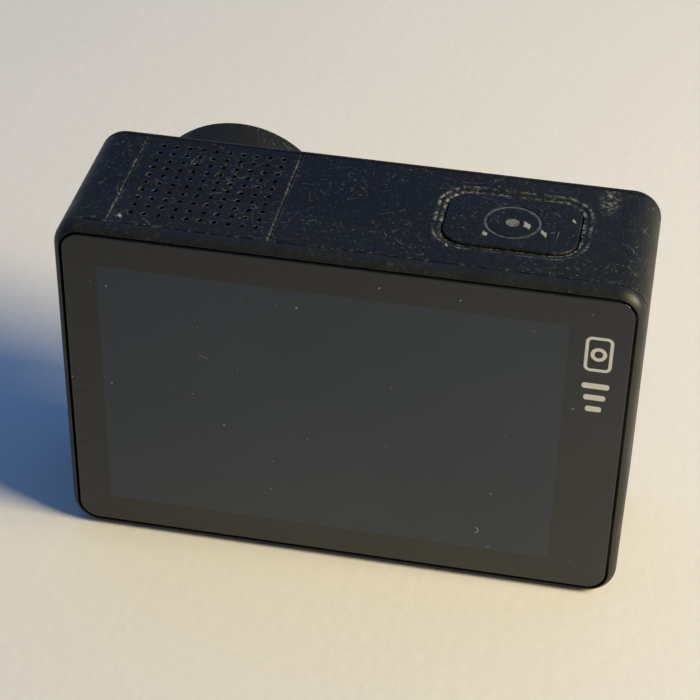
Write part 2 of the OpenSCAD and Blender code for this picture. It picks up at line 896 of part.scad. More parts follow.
module switch_plunger() color([0.1, 0.1, 0.1])
    translate([button_x, top_y, switch_z0 + 0.15 + button_travel + fit])
        cylinder(r = plunger_r, h = flange_z0 - switch_z0 - 0.15 - button_travel - fit);

module battery_door() color([0.10, 0.11, 0.15]) {
    x0 = door_x0 + seam_gap;
    y0 = door_y0 + seam_gap;
    y1 = door_y1 - seam_gap;
    w = hinge_x - x0;
    pocket = latch_t + 0.1;
    difference() {
        union() {
            translate([x0 + w / 2, (y0 + y1) / 2, skin]) slab(w, y1 - y0, door_corner - seam_gap, door_t);
            block([hinge_x - 4, y0, skin], [hinge_x, y1, skin + door_t]);
            translate([hinge_x, y0, hinge_z]) rotate([-90, 0, 0]) cylinder(r = knuckle_r, h = y1 - y0);
        }
        translate([hinge_x, y0 - 1, hinge_z])
            rotate([-90, 0, 0]) cylinder(r = pin_r + fit, h = y1 - y0 + 2);
        // pocket for the thumb piece, channel for its tongue, slot for its stem
        block([latch_x - 0.1, latch_y - latch_l / 2 - 0.1, -1],
              [latch_x + latch_w + latch_travel + 0.2, latch_y + latch_l / 2 + 0.1, skin + pocket]);
        block([x0 - 1, latch_y - tongue_w / 2 - 0.1, -1],
              [latch_x, latch_y + tongue_w / 2 + 0.1, skin + pocket]);
        block([latch_x + 2.3, latch_y - 0.9, 0], [latch_x + 4.5 + latch_travel, latch_y + 0.9, 3]);
    }
}

module door_gasket() color([0.35, 0.35, 0.36]) {
    z0 = skin + door_t;
    x0 = door_x0 + 1.2;
    x1 = hinge_x - 2.2;
    w = x1 - x0;
    l = door_y1 - door_y0 - 2.2;
    translate([x0 + w / 2, (door_y0 + door_y1) / 2, z0])
        difference() {
            slab(w, l, 1.2, 0.5);
            translate([0, 0, -1]) slab(w - 1.6, l - 1.6, 0.5, 3);
        }
}

module battery_latch() color([0.09, 0.09, 0.10]) {
    z0 = skin + 0.05;
    y0 = latch_y - latch_l / 2;
    difference() {
        block([latch_x, y0, z0], [latch_x + latch_w, y0 + latch_l, skin + latch_t]);
        for (i = [0 : 4])
            translate([latch_x + 1.2 + i * 1.05, y0 + 0.8, z0 - 0.2]) cube([0.4, latch_l - 1.6, 0.4]);
    }
    block([door_x0 - tongue_l + seam_gap, latch_y - tongue_w / 2, z0],
          [latch_x + 1, latch_y + tongue_w / 2, skin + latch_t]);
    block([latch_x + 2.4, latch_y - 0.8, z0 + 0.3], [latch_x + 4.4, latch_y + 0.8, skin + door_t + 0.1]);
}

module latch_keeper() color("silver") {
    z0 = skin + door_t + 0.1;
    block([latch_x + 1, latch_y - 2, z0], [latch_x + 5.6, latch_y + 2, z0 + 0.3]);
}

module port_cover() color([0.10, 0.11, 0.15]) {
    y0 = port_y0 + seam_gap;
    z0 = port_z0 + seam_gap;
    z1 = port_z1 - seam_gap;
    x1 = body_w / 2 - skin;
    difference() {
        union() {
            block([x1 - port_t, y0, z0], [x1, port_hinge_y, z1]);
            translate([port_hinge_x, port_hinge_y, z0]) cylinder(r = knuckle_r, h = z1 - z0);
        }
        translate([port_hinge_x, port_hinge_y, z0 - 1]) cylinder(r = pin_r + fit, h = z1 - z0 + 2);
        // finger notch at the free edge
        block([x1 - 0.5, y0 - 1, port_z - 2.5], [x1 + 1, y0 + 0.8, port_z + 2.5]);
    }
}

module port_plug() color([0.2, 0.2, 0.2]) {
    x1 = body_w / 2 - skin - port_t;
    translate([x1 - 0.9, port_y, port_z]) rotate([90, 0, 90]) slab(4, 9.4, 1.9, 0.9);
}

// ---------- nodes ----------

main_housing();
rear_bezel();
front_cover();
grip_panel();
touch_glass();
glass_mask();
rear_emblem();
glass_adhesive();
lcd_panel();
lcd_tray();
lcd_flex();
rear_light_pipes();
mid_frame();
frame_screws();
thermal_pad();
main_board();
processor();
emi_shield();
memory_chips();
microsd_slot();
usb_c_port();
battery_bay();
battery();
battery_contacts();
status_window();
status_display();
front_light_pipe();
microphone();
lens_collar();
lens_gasket();
lens_baffle();
lens_barrel();
front_element();
lens_elements();
lens_holder();
infrared_filter();
image_sensor();
sensor_board();
sensor_flex();
speaker();
speaker_mesh();
wifi_antenna();
button_bracket();
shutter_switch();
tripod_nut();
door_hinge_pin();
port_hinge_pin();
lens_ring();
lens_window();
shutter_button();
button_icon();
switch_plunger();
battery_door();
door_gasket();
battery_latch();
latch_keeper();
port_cover();
port_plug();
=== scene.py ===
"""Looks of the action camera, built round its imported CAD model. Metres, in the part's own frame."""

import math

import bpy
from mathutils import Euler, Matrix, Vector


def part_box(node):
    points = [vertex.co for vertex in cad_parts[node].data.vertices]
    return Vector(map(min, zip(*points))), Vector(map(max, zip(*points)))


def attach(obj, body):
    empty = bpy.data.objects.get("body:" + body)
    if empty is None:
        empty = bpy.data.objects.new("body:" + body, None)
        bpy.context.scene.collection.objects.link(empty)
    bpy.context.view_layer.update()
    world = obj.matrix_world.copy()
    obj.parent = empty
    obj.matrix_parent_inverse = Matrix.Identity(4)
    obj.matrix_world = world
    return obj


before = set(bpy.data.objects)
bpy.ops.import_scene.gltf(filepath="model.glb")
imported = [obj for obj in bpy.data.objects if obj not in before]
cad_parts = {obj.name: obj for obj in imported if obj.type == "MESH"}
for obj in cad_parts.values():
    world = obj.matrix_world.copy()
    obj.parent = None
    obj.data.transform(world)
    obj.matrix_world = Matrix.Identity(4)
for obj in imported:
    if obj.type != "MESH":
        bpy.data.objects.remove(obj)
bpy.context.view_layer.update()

MM = 0.001


def span(node):
    """A node's lowest and highest corners, in millimetres."""
    return [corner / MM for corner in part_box(node)]


def middle(node):
    low, high = span(node)
    return (low + high) / 2


# ---------- camera, light and floor ----------


def add_camera():
    """The camera above and behind the object, turned as the photographer held it."""
    data = bpy.data.cameras.new("view")
    data.lens = 110.1
    data.sensor_width = 36
    data.clip_start = 0.01
    cam = bpy.data.objects.new("view", data)
    cam.location = Vector((-32.97, 190.99, 165.99)) * MM
    cam.rotation_euler = Euler([math.radians(a) for a in (52.815, -0.947, -168.995)])
    bpy.context.scene.collection.objects.link(cam)
    bpy.context.scene.camera = cam


def add_area_light(name, place, aim, size, spread, power, colour):
    """A square soft light at place, turned to aim, both in millimetres. Its beam is spread degrees wide."""
    data = bpy.data.lights.new(name, "AREA")
    data.size = size * MM
    data.spread = math.radians(spread)
    data.energy = power
    data.color = colour
    lamp = bpy.data.objects.new(name, data)
    lamp.location = Vector(place) * MM
    lamp.rotation_euler = (Vector(place) - Vector(aim)).to_track_quat("Z", "Y").to_euler()
    bpy.context.scene.collection.objects.link(lamp)


def add_sky():
    """A dim grey room, with blue light high on the lens side, as from a window, and a pale glow below it."""
    world = bpy.data.worlds.new("room")
    bpy.context.scene.world = world
    world.use_nodes = True
    tree = world.node_tree
    direction = tree.nodes.new("ShaderNodeTexCoord")
    axes = tree.nodes.new("ShaderNodeSeparateXYZ")
    side = tree.nodes.new("ShaderNodeMapRange")
    side.interpolation_type = "SMOOTHSTEP"
    side.inputs["From Min"].default_value = 0.6
    side.inputs["From Max"].default_value = -0.4
    colour = tree.nodes.new("ShaderNodeMix")
    colour.data_type = "RGBA"
    colour.inputs[6].default_value = (0.060, 0.090, 0.135, 1)
    colour.inputs[7].default_value = (0.073, 0.197, 0.500, 1)
    low = tree.nodes.new("ShaderNodeMapRange")
    low.interpolation_type = "SMOOTHSTEP"
    low.inputs["From Min"].default_value = 0.42
    low.inputs["From Max"].default_value = 0.05
    near = tree.nodes.new("ShaderNodeMath")
    near.operation = "MULTIPLY"
    glow = tree.nodes.new("ShaderNodeMix")
    glow.data_type = "RGBA"
    glow.inputs[7].default_value = (0.40, 0.43, 0.46, 1)
    tree.links.new(direction.outputs["Generated"], axes.inputs[0])
    tree.links.new(axes.outputs["Y"], side.inputs["Value"])
    tree.links.new(axes.outputs["Z"], low.inputs["Value"])
    tree.links.new(side.outputs[0], colour.inputs[0])
    tree.links.new(side.outputs[0], near.inputs[0])
    tree.links.new(low.outputs[0], near.inputs[1])
    tree.links.new(near.outputs[0], glow.inputs[0])
    tree.links.new(colour.outputs[2], glow.inputs[6])
    tree.links.new(glow.outputs[2], tree.nodes["Background"].inputs["Color"])


def add_lights():
    """A warm key light from the screen's right, and the room."""
    add_area_light("key", (-620, 120, 420), (-50, -80, 0), 320, 100, 2.87, (1.0, 0.855, 0.52))
    add_sky()
    bpy.context.scene.view_settings.view_transform = "Standard"


def add_floor():
    """A large plain floor under the object."""
    half = 4.0
    mesh = bpy.data.meshes.new("floor")
    corners = [(-half, -half, 0), (half, -half, 0), (half, half, 0), (-half, half, 0)]
    mesh.from_pydata(corners, [], [(0, 1, 2, 3)])
    floor = bpy.data.objects.new("floor", mesh)
    bpy.context.scene.collection.objects.link(floor)
    s = Shader("floor_paper")
    tone = s.mix(s.noise(60.0, 3.0), (0.795, 0.775, 0.75), (0.835, 0.805, 0.78))
    paper = s.bump(s.noise(1.6, 5.0), 0.05)
    mesh.materials.append(s.finish(s.node("BsdfPrincipled", Base_Color=tone, Roughness=0.85, Normal=paper)))


# ---------- shader building ----------


class Shader:
    """A material under construction. Coordinates are the object's own, in millimetres."""

    def __init__(self, name):
        self.mat = bpy.data.materials.new(name)
        self.mat.use_nodes = True
        self.tree = self.mat.node_tree
        self.tree.nodes.clear()
        self.out = self.tree.nodes.new("ShaderNodeOutputMaterial")
        coords = self.tree.nodes.new("ShaderNodeTexCoord")
        self.normal = coords.outputs["Normal"]
        self.place = self.vector("SCALE", coords.outputs["Object"], scale=1 / MM)
        self.x, self.y, self.z = self.split(self.place)

    def put(self, socket, value):
        """Sets an input socket from a value or from another node's output."""
        if isinstance(value, bpy.types.NodeSocket):
            self.tree.links.new(value, socket)
        elif value is not None:
            if isinstance(value, (tuple, list)) and len(value) == 3 and socket.type == "RGBA":
                value = (*value, 1)
            socket.default_value = value

    def node(self, kind, settings=None, **inputs):
        n = self.tree.nodes.new("ShaderNode" + kind)
        for key, value in (settings or {}).items():
            setattr(n, key, value)
        for key, value in inputs.items():
            self.put(n.inputs[key.replace("_", " ")], value)
        return n

    def math(self, operation, a, b=0.0, c=0.0):
        n = self.tree.nodes.new("ShaderNodeMath")
        n.operation = operation
        for socket, value in zip(n.inputs, (a, b, c)):
            self.put(socket, value)
        return n.outputs[0]

    def vector(self, operation, a, b=(0, 0, 0), scale=1.0):
        n = self.tree.nodes.new("ShaderNodeVectorMath")
        n.operation = operation
        self.put(n.inputs[0], a)
        if operation not in ("SCALE", "LENGTH"):
            self.put(n.inputs[1], b)
        if operation == "SCALE":
            self.put(n.inputs["Scale"], scale)
        return n.outputs["Value" if operation in ("LENGTH", "DOT_PRODUCT") else "Vector"]

    def split(self, vector):
        return self.node("SeparateXYZ", Vector=vector).outputs

    def join(self, x, y, z=0.0):
        return self.node("CombineXYZ", X=x, Y=y, Z=z).outputs[0]

    def gap(self, a, b):
        """How far apart two values are."""
        return self.math("ABSOLUTE", self.math("SUBTRACT", a, b))

    def step(self, value, low, high, to_low=0.0, to_high=1.0):
        """Goes smoothly from to_low at low to to_high at high."""
        n = self.tree.nodes.new("ShaderNodeMapRange")
        n.interpolation_type = "SMOOTHSTEP"
        settings = {"Value": value, "From Min": low, "From Max": high, "To Min": to_low, "To Max": to_high}
        for key, v in settings.items():
            self.put(n.inputs[key], v)
        return n.outputs[0]

    def times(self, *factors):
        product = factors[0]
        for f in factors[1:]:
            product = self.math("MULTIPLY", product, f)
        return product

    def most(self, *values):
        top = values[0]
        for v in values[1:]:
            top = self.math("MAXIMUM", top, v)
        return top

    def noise(self, size, detail=3.0, vector=None, roughness=0.5):
        """Cloudy noise from 0 to 1 with features about size millimetres across."""
        place = vector or self.place
        n = self.node("TexNoise", Vector=place, Scale=1 / size, Detail=detail, Roughness=roughness)
        return n.outputs["Fac"]

    def mix(self, amount, a, b):
        n = self.tree.nodes.new("ShaderNodeMix")
        n.data_type = "RGBA"
        self.put(n.inputs[0], amount)
        self.put(n.inputs[6], a)
        self.put(n.inputs[7], b)
        return n.outputs[2]

    def shade(self, amount, colour, spread=0.2):
        """A colour that amount, from 0 to 1, makes darker or lighter by up to spread."""
        darker, lighter = (tuple(k * c for c in colour) for k in (1 - spread, 1 + spread))
        return self.mix(amount, darker, lighter)

    def bump(self, height, depth, below=None):
        """A bump of depth millimetres where height goes from 0 to 1."""
        n = self.node("Bump", Height=height, Distance=depth * MM, Strength=1.0)
        if below is not None:
            self.put(n.inputs["Normal"], below)
        return n.outputs[0]

    def soft_edges(self, radius):
        """A normal that makes sharp edges look rounded."""
        return self.node("Bevel", {"samples": 4}, Radius=radius * MM).outputs[0]

    def flat_place(self):
        """The two coordinates along whichever face the point is on, so that flat patterns lie flat."""
        nx, ny, nz = (self.math("ABSOLUTE", s) for s in self.split(self.normal))
        on_top = self.join(self.x, self.y)
        on_front = self.join(self.math("ADD", self.x, 37.0), self.z)
        on_side = self.join(self.y, self.math("ADD", self.z, 53.0))
        upright = self.mix(self.math("GREATER_THAN", ny, nx), on_side, on_front)
        return self.mix(self.math("GREATER_THAN", nz, self.math("MAXIMUM", nx, ny)), upright, on_top)

    def specks(self, flat, cell, radius, share):
        """Scattered dots of up to that radius, in that share of the cells."""
        v = self.node("TexVoronoi", {"voronoi_dimensions": "2D"}, Vector=flat, Scale=1 / cell)
        red, green, _ = self.split(v.outputs["Color"])
        reach = self.times(radius / cell, self.math("ADD", self.math("MULTIPLY", red, red), 0.2))
        dot = self.math("LESS_THAN", v.outputs["Distance"], reach)
        return self.times(dot, self.math("LESS_THAN", green, share))

    def fibres(self, flat, cell, half_length, width, bend, share):
        """Scattered short curved hairs, one in that share of the cells."""
        v = self.node("TexVoronoi", {"voronoi_dimensions": "2D"}, Vector=flat, Scale=1 / cell)
        red, green, blue = self.split(v.outputs["Color"])
        local = self.vector("SUBTRACT", flat, v.outputs["Position"])
        angle = self.times(red, math.tau)
        turned = self.node("VectorRotate", {"rotation_type": "Z_AXIS"}, Vector=local, Angle=angle)
        u, w, _ = self.split(turned.outputs[0])
        curve = self.times(self.math("SUBTRACT", green, 0.5), bend, self.math("MULTIPLY", u, u))
        off = self.math("ABSOLUTE", self.math("ADD", w, curve))
        reach = self.times(half_length, self.math("ADD", green, 0.35))
        line = self.step(off, width, 0.4 * width)
        ends = self.step(self.math("ABSOLUTE", u), reach, self.times(reach, 0.8))
        return self.times(line, ends, self.math("LESS_THAN", blue, share))

    def rim_distance(self, x, y, width, height, radius):
        """Distance in millimetres from the outline of a rounded rectangle, positive outside."""
        px = self.math("SUBTRACT", self.math("ABSOLUTE", x), width / 2 - radius)
        py = self.math("SUBTRACT", self.math("ABSOLUTE", y), height / 2 - radius)
        out = self.vector("LENGTH", self.join(self.math("MAXIMUM", px, 0.0), self.math("MAXIMUM", py, 0.0)))
        inside = self.math("MINIMUM", self.math("MAXIMUM", px, py), 0.0)
        return self.math("SUBTRACT", self.math("ADD", out, inside), radius)

    def distance(self, x, y, x0=0.0, y0=0.0):
        """Distance of (x, y) from (x0, y0)."""
        return self.vector("LENGTH", self.join(self.math("SUBTRACT", x, x0), self.math("SUBTRACT", y, y0)))

    def stripes(self, along, pitch, width):
        """1 on parallel lines of that width, 0 between them."""
        return self.step(self.math("PINGPONG", along, pitch / 2), width / 2 + 0.02, width / 2 - 0.02)

    def layer(self, amount, below, above):
        """One shader over another."""
        n = self.tree.nodes.new("ShaderNodeMixShader")
        self.put(n.inputs[0], amount)
        self.tree.links.new(below.outputs[0], n.inputs[1])
        self.tree.links.new(above.outputs[0], n.inputs[2])
        return n

    def principled(self, plain=None, **inputs):
        """The closing shader. plain holds the settings that are the same all over."""
        n = self.node("BsdfPrincipled", **inputs)
        for key, value in (plain or {}).items():
            self.put(n.inputs[key], value)
        return self.finish(n)

    def finish(self, surface):
        self.tree.links.new(surface.outputs[0], self.out.inputs["Surface"])
        return self.mat


def dress(material, *names):
    """Gives CAD nodes a material."""
    for name in names:
        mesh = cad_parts[name].data
        mesh.materials.clear()
        mesh.materials.append(material)


# ---------- shell ----------

# Colours of loose hairs, of settled dust, of the film that hands leave, and of the bare housing
LINT = (0.25, 0.275, 0.28)
DUST = (0.32, 0.32, 0.275)
FILM = (0.26, 0.25, 0.15)
HOUSING = (0.0036, 0.0041, 0.0048)

TOP_Z = span("main_housing")[1].z

# On the top, in millimetres: the band between the two grooves, the grille in it and the dish round the button
BAND_X, BAND_WIDTH = 16.85, 17.3
GRILLE_Y, GRILLE_REACH, HOLE_PITCH = 4.0, 7.3, 1.5
DISH = (16.4, 11.9, 3.7)
# Crumbs on the top, each as (x, y, size)
CRUMBS = (
    (-19.5, 5.4, 0.36), (-17.6, 4.3, 0.38), (-13.5, 6.7, 0.30),
    (-22.4, 2.4, 0.20), (-9.9, 9.6, 0.22), (24.4, 11.6, 0.22),
)


def lint_layers(s, amount):
    """How much of the surface is covered with hairs, scratches and specks."""
    flat = s.flat_place()
    nz = s.split(s.normal)[2]
    facing_up = s.step(nz, -0.2, 0.9, 0.2, 1.0)
    patches = s.step(s.noise(5.0, 2.0), 0.38, 0.62, 0.3, 1.0)
    hairs = s.fibres(flat, 1.1, 0.40, 0.085, 1.7, 0.5)
    more_hairs = s.fibres(s.vector("ADD", flat, (7.3, 2.1, 0)), 2.1, 0.75, 0.08, 0.8, 0.6)
    long_hairs = s.fibres(s.vector("ADD", flat, (1.9, 5.7, 0)), 4.5, 1.3, 0.075, 0.45, 0.45)
    scuffs = s.fibres(s.vector("ADD", flat, (4.4, 9.2, 0)), 0.62, 0.26, 0.07, 1.0, 0.55)
    grains = s.specks(flat, 0.55, 0.14, 0.45)
    cover = s.most(
        s.times(scuffs, 0.13), s.times(hairs, 0.17), s.times(more_hairs, 0.32), s.times(long_hairs, 0.45),
        s.times(grains, 0.28)
    )
    fade = s.step(s.noise(0.8, 2.0), 0.32, 0.68, 0.15, 1.0)
    return s.times(cover, facing_up, patches, fade, amount)


def moulded_plastic(name, colour, roughness, grain, lint, settled=None, specular=0.24):
    """Moulded plastic with a fine grain, a slight cloudiness, rubbed corners, lint and settled dust."""
    s = Shader(name)
    mottle = s.step(s.noise(0.22, 2.0), 0.35, 0.65, 0.0, 0.45)
    base = s.mix(mottle, s.shade(s.noise(9.0, 4.0), colour), (0.0, 0.0, 0.0))
    dust = lint_layers(s, lint)
    by_button = s.step(s.x, 6.0, -28.0, 0.003, 0.038)
    by_screen = s.step(s.y, 3.0, 9.5, 0.0, 0.020)
    by_grille = s.step(s.x, 5.0, 12.0, 0.0, 0.005)
    handled = s.most(by_button, by_screen, by_grille)
    cloud = s.step(s.noise(0.9, 5.0, roughness=0.6), 0.3, 0.75, 0.55, 1.0)
    film = s.times(cloud, handled, lint)
    base = s.mix(dust, s.mix(film, base, FILM), LINT)
    if settled:
        base = s.mix(settled(s), base, DUST)
        dust = s.most(dust, settled(s))
    texture = s.bump(s.noise(0.16, 2.0), grain, s.soft_edges(0.12))
    lumps = s.bump(dust, 0.03, texture)
    nx, _, nz = s.split(s.normal)
    corner = s.step(s.math("ABSOLUTE", s.times(nx, nz)), 0.2, 0.5, 0.0, 0.06)
    uneven = s.step(s.noise(3.0, 4.0), 0.3, 0.7, roughness - 0.05, roughness + 0.07)
    rough = s.math("ADD", s.math("SUBTRACT", uneven, corner), s.times(dust, 0.3))
    return s.principled({"Specular IOR Level": specular}, Base_Color=base, Roughness=rough, Normal=lumps)


def groove_dust(s):
    """Dust in the two grooves beside the grille."""
    off = s.gap(s.gap(s.x, BAND_X), BAND_WIDTH / 2)
    crumbly = s.step(s.noise(0.38, 4.0), 0.42, 0.62)
    patches = s.step(s.noise(2.5), 0.3, 0.6, 0.2, 1.0)
    return s.times(s.step(off, 0.40, 0.08), crumbly, patches, 0.34)


def dish_dust(s):
    """Dust that has gathered in the shallow dish round the button."""
    button = middle("shutter_button")
    width, length, radius = DISH
    x = s.math("SUBTRACT", s.x, button.x)
    d = s.rim_distance(x, s.math("SUBTRACT", s.y, button.y), width, length, radius)
    inner = s.step(s.gap(d, -0.85), 0.40, 0.08)
    outer = s.step(s.gap(d, -0.06), 0.26, 0.05)
    ends = s.step(s.math("ABSOLUTE", x), 3.0, 7.0, 0.35, 1.0)
    patches = s.times(s.step(s.noise(2.4, 2.0), 0.36, 0.56, 0.15, 1.0), ends)
    crumbly = s.step(s.noise(0.42, 4.0), 0.42, 0.6)
    return s.times(s.most(s.times(inner, 0.85), s.times(outer, 0.6)), patches, crumbly)


def grille_dust(s):
    """Dust on the rims of some of the speaker's holes, and in a few of them."""
    grille = middle("speaker_mesh")
    half = HOLE_PITCH / 2
    x = s.math("SUBTRACT", s.x, grille.x)
    y = s.math("SUBTRACT", s.y, GRILLE_Y)
    from_hole = s.distance(s.math("PINGPONG", x, half), s.math("PINGPONG", y, half), half, half)
    within = s.times(*(s.step(s.math("ABSOLUTE", v), GRILLE_REACH + 0.1, GRILLE_REACH - 0.1) for v in (x, y)))
    flush = s.step(s.z, TOP_Z - 0.1, TOP_Z - 0.03)
    patches = s.step(s.noise(0.65, 3.0), 0.5, 0.62)
    return s.times(s.step(from_hole, 0.46, 0.3), patches, within, flush, 0.3)


def seam_dust(s):
    """A faint dusty line along the top of the seam behind the screen's bezel."""
    seam = span("main_housing")[1].y
    return s.times(s.step(s.y, seam - 0.35, seam - 0.1), s.step(s.noise(0.9, 5.0), 0.5, 0.7), 0.24)


def crumb(s, x, y, size):
    """One angular crumb of about that size."""
    across = s.gap(s.x, x)
    along = s.gap(s.math("ADD", s.y, s.times(s.math("SUBTRACT", s.x, x), 0.6)), y)
    ragged = s.math("ADD", s.times(s.noise(0.4, 3.0), 0.6), -0.3)
    return s.step(s.math("ADD", s.most(across, s.times(along, 0.75)), ragged), size, 0.7 * size)


def crumb_dust(s):
    """Larger crumbs at chosen places on the top, and one smudge near the front corner."""
    crumbs = s.most(*(crumb(s, x, y, size) for x, y, size in CRUMBS))
    from_smudge = s.distance(s.times(s.x, 1.5), s.times(s.y, 0.7), -38.6, -1.5)
    crumbly = s.step(s.noise(0.5, 5.0, roughness=0.75), 0.47, 0.58)
    return s.most(crumbs, s.times(s.step(from_smudge, 2.3, 0.3), crumbly, 0.66))


def settled_dust(s):
    """All the dust that has settled on the top face."""
    on_top = s.step(s.z, TOP_Z - 0.45, TOP_Z - 0.35)
    parts = (part(s) for part in (groove_dust, dish_dust, grille_dust, seam_dust, crumb_dust))
    return s.times(s.most(*parts), on_top)


def dress_shell():
    dress(moulded_plastic("housing_plastic", HOUSING, 0.5, 0.012, 1.0, settled_dust), "main_housing")
    cover = moulded_plastic("cover_plastic", HOUSING, 0.5, 0.012, 0.8)
    dress(cover, "front_cover", "battery_door", "port_cover")
    dress(moulded_plastic("button_plastic", HOUSING, 0.46, 0.010, 0.9, crumb_dust), "shutter_button")
    bezel = moulded_plastic("bezel_plastic", (0.0100, 0.0108, 0.0092), 0.46, 0.006, 0.4, specular=0.4)
    dress(bezel, "rear_bezel", "battery_latch")
    ring = moulded_plastic("ring_finish", (0.0150, 0.0156, 0.0138), 0.6, 0.008, 0.7, specular=0.16)
    dress(ring, "lens_ring", "lens_collar")


def dress_grip():
    """Ribbed soft rubber with a fine pebble grain."""
    s = Shader("grip_rubber")
    cells = s.node("TexVoronoi", {"feature": "SMOOTH_F1"}, Vector=s.place, Scale=1 / 0.35)
    dust = lint_layers(s, 0.5)
    base = s.mix(dust, s.shade(s.noise(6.0, 3.0), (0.011, 0.011, 0.012)), LINT)
    normal = s.bump(cells.outputs["Distance"], 0.03, s.soft_edges(0.12))
    rubber = s.principled({"Specular IOR Level": 0.3}, Base_Color=base, Roughness=0.68, Normal=normal)
    dress(rubber, "grip_panel")


# ---------- screen ----------

INK = (0.0040, 0.0036, 0.0038)
PICTURE = (0.0082, 0.0175, 0.032)
WHITE_INK = (0.72, 0.70, 0.62)

# The picture behind the cover glass, in millimetres, and one slit's width, height and corner radius
PICTURE_X, PICTURE_Z = 1.4, 20.6
PICTURE_WIDTH, PICTURE_HEIGHT = 50.0, 31.9
SLIT = (1.3, 0.4, 0.15)


def emblem_mark(s):
    """1 on the plain camera picture and the three bars printed beside the screen."""
    low, high = span("rear_emblem")
    x = s.math("SUBTRACT", s.x, (low.x + high.x) / 2)
    z = s.math("SUBTRACT", s.z, high.z - 2.2)
    frame_line = s.math("ABSOLUTE", s.math("ADD", s.rim_distance(x, z, 2.9, 4.4, 0.7), 0.175))
    eye = s.gap(s.distance(x, z), 0.65)
    mark = s.most(s.step(frame_line, 0.195, 0.155), s.step(eye, 0.22, 0.18))
    for i in range(3):
        bar = s.rim_distance(x, s.math("ADD", z, 4.1 + 1.5 * i), 2.9 - 0.6 * i, 0.7, 0.3)
        mark = s.most(mark, s.step(bar, 0.02, -0.02))
    return mark


def light_slits(s):
    """1 on the two slits for the lights behind the glass."""
    low, high = span("rear_light_pipes")
    x = s.math("SUBTRACT", s.x, (low.x + high.x) / 2)
    width, height, radius = SLIT
    middles = (low.z + height / 2, high.z - height / 2)
    edges = [s.rim_distance(x, s.math("SUBTRACT", s.z, z), width, height, radius) for z in middles]
    return s.most(*(s.step(d, 0.04, -0.04) for d in edges))


def screen_picture(s, slits):
    """Colour of what is under the cover glass: black ink, the dark picture, the mark and the two slits."""
    x, z = (s.math("SUBTRACT", v, centre) for v, centre in ((s.x, PICTURE_X), (s.z, PICTURE_Z)))
    outline = s.rim_distance(x, z, PICTURE_WIDTH, PICTURE_HEIGHT, 0.2)
    cloud = s.step(s.noise(25.0, 2.0), 0.3, 0.7, 0.92, 1.08)
    shown = s.mix(s.step(outline, 0.04, -0.04), INK, s.vector("SCALE", PICTURE, scale=cloud))
    edge = s.step(s.math("ABSOLUTE", outline), 0.14, 0.02)
    shown = s.mix(s.times(edge, 0.5), shown, (0.016, 0.016, 0.014))
    shown = s.mix(slits, shown, (0.002, 0.002, 0.002))
    shown = s.mix(emblem_mark(s), shown, WHITE_INK)
    face_y = middle("touch_glass").y
    return s.mix(s.step(s.y, face_y - 0.1, face_y + 0.1), INK, shown)


def dress_screen():
    """The cover glass, seen as what is printed under it with a polished surface over it."""
    s = Shader("screen_glass")
    flat = s.flat_place()
    dots = s.specks(flat, 4.2, 0.13, 0.22)
    hairs = s.fibres(s.vector("ADD", flat, (3.0, 8.0, 0)), 14.0, 0.7, 0.05, 1.5, 0.25)
    curl_x, curl_z, curl_radius = -15.3, 7.2, 0.42
    on_circle = s.step(s.gap(s.distance(s.x, s.z, curl_x, curl_z), curl_radius), 0.1, 0.03)
    curl = s.times(on_circle, s.step(s.x, curl_x, curl_x - 0.2))
    dust = s.most(s.times(dots, 0.3), s.times(hairs, 0.25), s.times(curl, 0.4))
    # A mottled pale layer that grows in a straight ramp towards the bottom and the −X side of the glass:
    # painted glare, standing in for the brighter reflection there. The specks, hairs and curl mixed in with
    # it are dust.
    slope = s.math("ADD", s.times(s.x, 0.55), s.z)
    cloud = s.step(s.noise(18.0, 4.0), 0.3, 0.8, 0.85, 1.15)
    painted_glare = s.times(cloud, s.step(slope, 62.0, -18.0, 0.003, 0.052))
    slits = light_slits(s)
    base = s.mix(s.math("ADD", dust, painted_glare), screen_picture(s, slits), (0.52, 0.54, 0.58))
    smear = s.step(s.noise(12.0, 5.0), 0.35, 0.75, 0.05, 0.11)
    rough = s.most(s.math("ADD", smear, s.times(dust, 0.8)), s.times(slits, 0.5))
    plain = {"IOR": 1.49, "Specular Tint": (0.93, 0.96, 1.0, 1)}
    dress(s.principled(plain, Base_Color=base, Roughness=rough, Normal=s.soft_edges(0.1)), "touch_glass")
    dress(printed("print_black", (0.008, 0.008, 0.007), 0.5), "glass_mask", "glass_adhesive")
    dress(printed("print_white", WHITE_INK, 0.5), "rear_emblem")


def printed(name, colour, roughness):
    """Ink or a thin film, very slightly uneven."""
    s = Shader(name)
    return s.principled(Base_Color=s.shade(s.noise(0.5, 3.0), colour, 0.07), Roughness=roughness)


def dress_displays():
    """The picture panels: dark glass with a faint grid of pixels and a silver rim."""
    for node, name in (("lcd_panel", "screen_cells"), ("status_display", "status_cells")):
        low, high = span(node)
        centre = (low + high) / 2
        s = Shader(name)
        x, z = s.math("SUBTRACT", s.x, centre.x), s.math("SUBTRACT", s.z, centre.z)
        outline = s.rim_distance(x, z, high.x - low.x, high.z - low.z, 0.1)
        grid = s.most(s.stripes(s.x, 0.3, 0.06), s.stripes(s.z, 0.3, 0.06))
        cells = s.mix(s.times(grid, 0.5), (0.012, 0.014, 0.017), (0.004, 0.004, 0.005))
        base = s.mix(s.step(outline, -0.9, -0.8), cells, (0.02, 0.02, 0.02))
        dress(s.principled(Base_Color=base, Roughness=s.step(s.noise(4.0, 3.0), 0.3, 0.7, 0.12, 0.2)), node)


